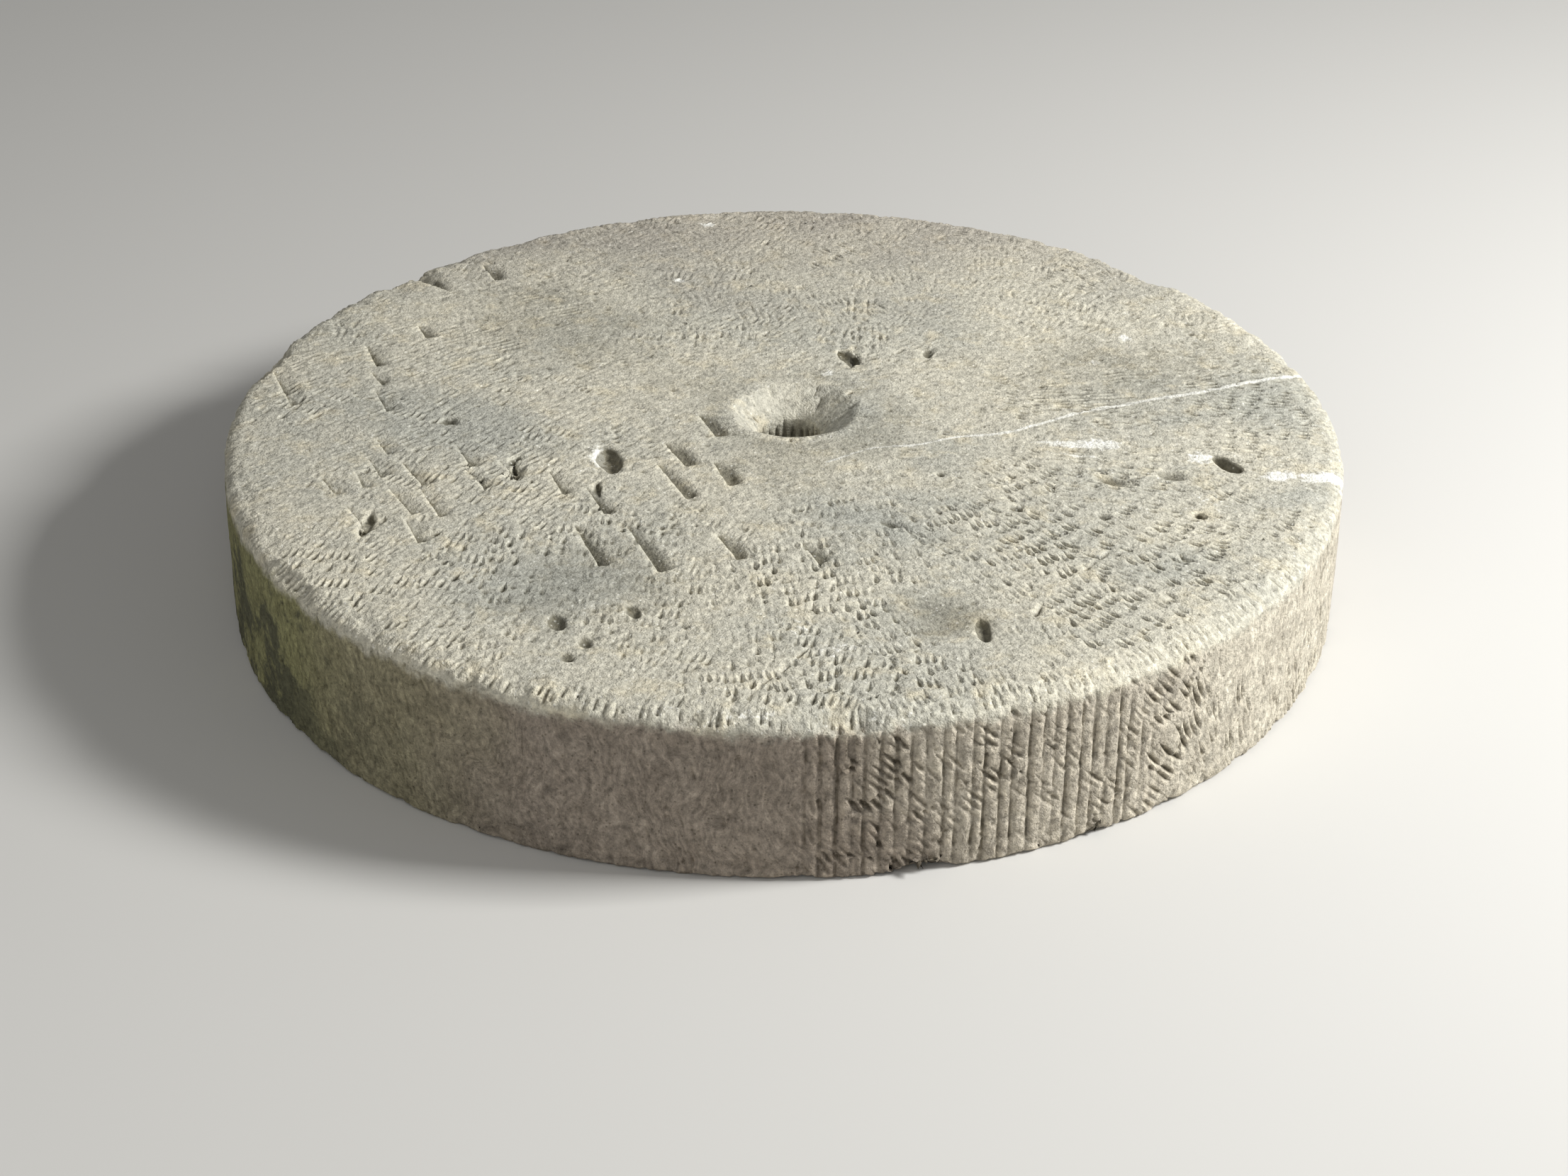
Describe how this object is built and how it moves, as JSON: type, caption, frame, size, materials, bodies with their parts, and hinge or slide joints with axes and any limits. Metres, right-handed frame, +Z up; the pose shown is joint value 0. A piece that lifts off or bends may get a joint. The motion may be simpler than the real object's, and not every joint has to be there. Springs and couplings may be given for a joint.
{
  "type": "rotary quern stone",
  "caption": "Round flat millstone with a funnel-mouthed eye, chisel-dressed face and a worn, notched edge.",
  "frame": {"origin": "middle of the flat underside, on the surface that the stone lies on", "axes": "+Z up through the thickness, towards the dressed face with the funnel; -Y towards the front of the picture's view; the notch in the upper edge is at the back left, between -X and +Y"},
  "size_m": [0.8969, 0.9031, 0.134],
  "materials": {
    "stone": "matt weathered limestone, chisel dressed, with pale lime marks and green-grey growth on the rim"
  },
  "bodies": {
    "root": {"millstone": "stone"}
  },
  "joints": []
}
